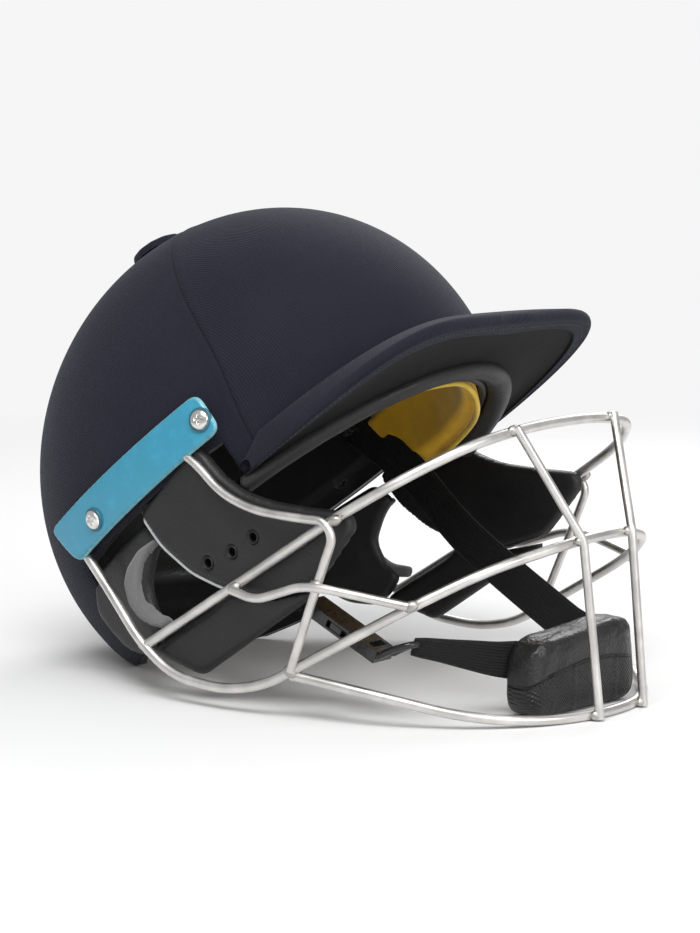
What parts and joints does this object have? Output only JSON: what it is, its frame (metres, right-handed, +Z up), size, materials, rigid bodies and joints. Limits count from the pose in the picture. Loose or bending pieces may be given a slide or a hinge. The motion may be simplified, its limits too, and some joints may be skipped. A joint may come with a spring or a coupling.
{
  "type": "wicket keeping helmet",
  "caption": "Cloth-covered wicket-keeping helmet with a peak, a welded wire face guard, padded ear guards, a yellow sweat pad and a buckled chin strap with a padded cup.",
  "frame": {"origin": "on the surface that the helmet rests on, under the middle of its length and width", "axes": "+Z up, -Y to the front of the face guard, +X to the wearer's left; +Y runs along the longest side"},
  "size_m": [0.2366, 0.3546, 0.2424],
  "materials": {
    "shell_plastic": "moulded, plain",
    "navy_cloth": "navy twill cloth",
    "black_foam": "closed-cell foam",
    "peak_plastic": "moulded, plain",
    "charcoal_lining": "close plain cloth",
    "black_leather": "soft grained leatherette",
    "yellow_padding": "soft brushed knit over foam",
    "black_padding": "brushed knit over foam",
    "grey_velour": "short pile velour",
    "teal_plastic": "satin moulded plastic",
    "steel_wire": "satin stainless wire",
    "steel_screw": "bright domed steel",
    "dark_washer": "dark coated ring",
    "black_webbing": "woven webbing",
    "black_buckle": "moulded acetal"
  },
  "bodies": {
    "helmet": {"brow_pad": "yellow_padding", "brow_roll": "black_leather", "chin_bar": "steel_wire", "crown_button": "navy_cloth", "crown_pad": "black_padding", "foam_liner": "black_foam", "front_cover_panel": "navy_cloth", "left_cover_panel": "navy_cloth", "left_cross_wire": "steel_wire", "left_ear_plate": "black_leather", "left_ear_velour": "grey_velour", "left_lower_ear_pad": "black_leather", "left_rear_ear_pad": "black_leather", "left_side_wire": "steel_wire", "left_strip": "teal_plastic", "left_upright": "steel_wire", "liner_binding": "black_leather", "lower_bar": "steel_wire", "nape_pad": "black_leather", "outer_shell": "shell_plastic", "peak_board": "peak_plastic", "peak_cover": "navy_cloth", "peak_lining": "charcoal_lining", "right_cover_panel": "navy_cloth", "right_cross_wire": "steel_wire", "right_ear_plate": "black_leather", "right_ear_velour": "grey_velour", "right_lower_ear_pad": "black_leather", "right_rear_ear_pad": "black_leather", "right_side_wire": "steel_wire", "right_strip": "teal_plastic", "right_upright": "steel_wire", "strap_anchors": "steel_screw", "strip_nuts": "steel_screw", "strip_screws": "steel_screw", "strip_washers": "dark_washer", "upper_bar": "steel_wire"},
    "chin_strap": {"left_strap": "black_webbing", "right_strap": "black_webbing", "chin_cup": "black_leather", "cup_strap": "black_webbing", "buckle_socket": "black_buckle"},
    "buckle_plug": {"buckle_plug": "black_buckle"},
    "right_prong": {"right_prong": "black_buckle"},
    "left_prong": {"left_prong": "black_buckle"}
  },
  "joints": [
    {"name": "chin_strap_swing", "type": "hinge", "parent": "helmet", "child": "chin_strap", "pos_m": [0, 0.05295, 0.12], "axis": [1, 0, 0], "range_deg": [0, 35]},
    {"name": "buckle_release", "type": "slide", "parent": "chin_strap", "child": "buckle_plug", "axis": [0, -0.9008, -0.4343], "range_m": [0, 0.012]},
    {"name": "right_prong_press", "type": "slide", "parent": "buckle_plug", "child": "right_prong", "axis": [1, 0, 0], "range_m": [0, 0.0018], "stiffness_N_per_m": 400},
    {"name": "left_prong_press", "type": "slide", "parent": "buckle_plug", "child": "left_prong", "axis": [-1, 0, 0], "range_m": [0, 0.0018], "stiffness_N_per_m": 400}
  ],
  "couplings": [
    {"joint": "left_prong_press", "follows": "right_prong_press", "ratio": 1}
  ]
}
